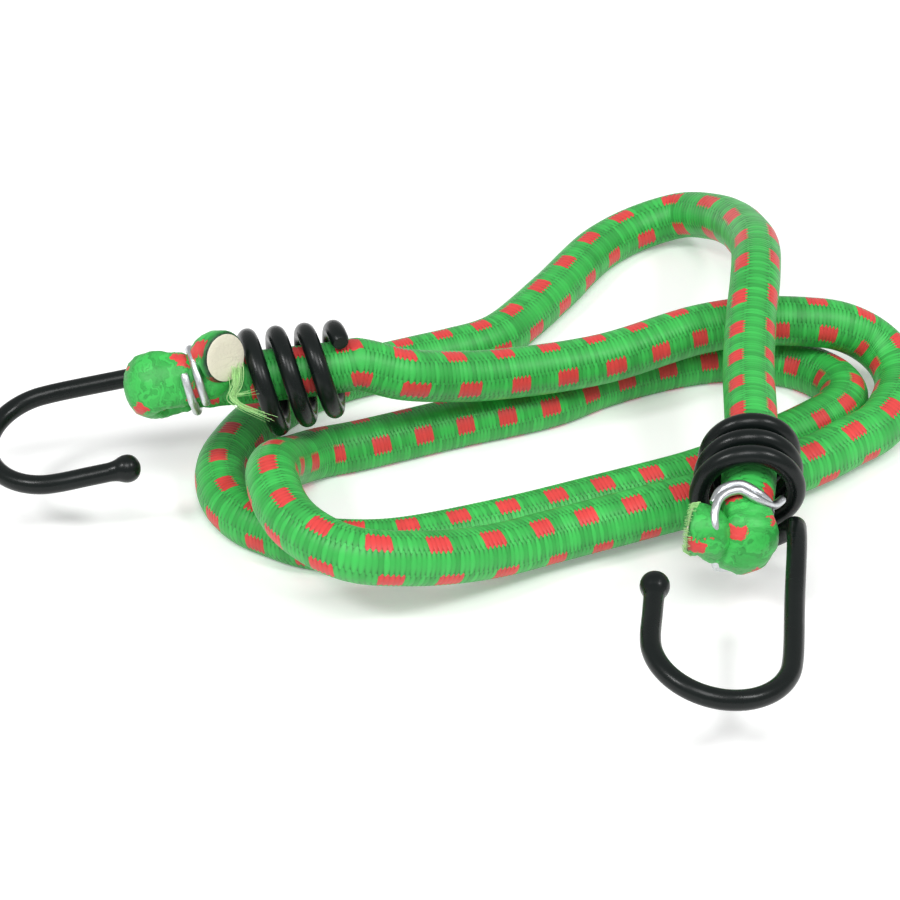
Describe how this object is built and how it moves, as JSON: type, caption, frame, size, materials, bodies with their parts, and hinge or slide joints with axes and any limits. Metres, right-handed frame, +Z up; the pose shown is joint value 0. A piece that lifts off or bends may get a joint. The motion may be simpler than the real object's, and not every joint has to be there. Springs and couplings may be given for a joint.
{
  "type": "bungee cord",
  "caption": "Elastic cord of braided sleeve over a rubber core, lying in loose loops, with a coated wire hook wound on each folded and clipped end.",
  "frame": {"origin": "middle of the overall footprint, on the surface that the cord lies on", "axes": "+Z up; hook A points towards -X and hook B towards -Y"},
  "size_m": [0.1472, 0.151, 0.0283],
  "materials": {
    "braid": "satin braided yarn, green with rows of red spots",
    "rubber_core": "matt cream",
    "hook_coat": "satin black dip coat",
    "steel_wire": "drawn wire",
    "zinc_wire": "bright zinc"
  },
  "bodies": {
    "loops": {"cord_sleeve": "braid", "cord_core": "rubber_core", "stretch_a_sleeve": "braid", "stretch_a_core": "rubber_core", "stretch_b_sleeve": "braid", "stretch_b_core": "rubber_core"},
    "end_a": {"end_a_sleeve": "braid", "end_a_core": "rubber_core", "clip_a": "zinc_wire"},
    "hook_a": {"hook_a_coat": "hook_coat", "hook_a_wire": "steel_wire", "hook_a_tip": "hook_coat"},
    "end_b": {"end_b_sleeve": "braid", "end_b_core": "rubber_core", "clip_b": "zinc_wire"},
    "hook_b": {"hook_b_coat": "hook_coat", "hook_b_wire": "steel_wire", "hook_b_tip": "hook_coat"}
  },
  "joints": [
    {"name": "end_a_stretch", "type": "slide", "parent": "loops", "child": "end_a", "axis": [-0.989, -0.1478, 0], "range_m": [0, 0.04], "stiffness_N_per_m": 110, "deforming": ["stretch_a_sleeve", "stretch_a_core"]},
    {"name": "hook_a_swivel", "type": "hinge", "parent": "end_a", "child": "hook_a", "pos_m": [-0.0325, -0.0044, 0.0169], "axis": [-0.9782, -0.1462, -0.1478], "range_deg": [-15, 150]},
    {"name": "end_b_stretch", "type": "slide", "parent": "loops", "child": "end_b", "axis": [-0.1132, -0.9936, 0], "range_m": [0, 0.04], "stiffness_N_per_m": 110, "deforming": ["stretch_b_sleeve", "stretch_b_core"]},
    {"name": "hook_b_swivel", "type": "hinge", "parent": "end_b", "child": "hook_b", "pos_m": [0.0403, -0.0342, 0.0148], "axis": [-0.1127, -0.989, -0.0958], "range_deg": [-30, 120]}
  ]
}
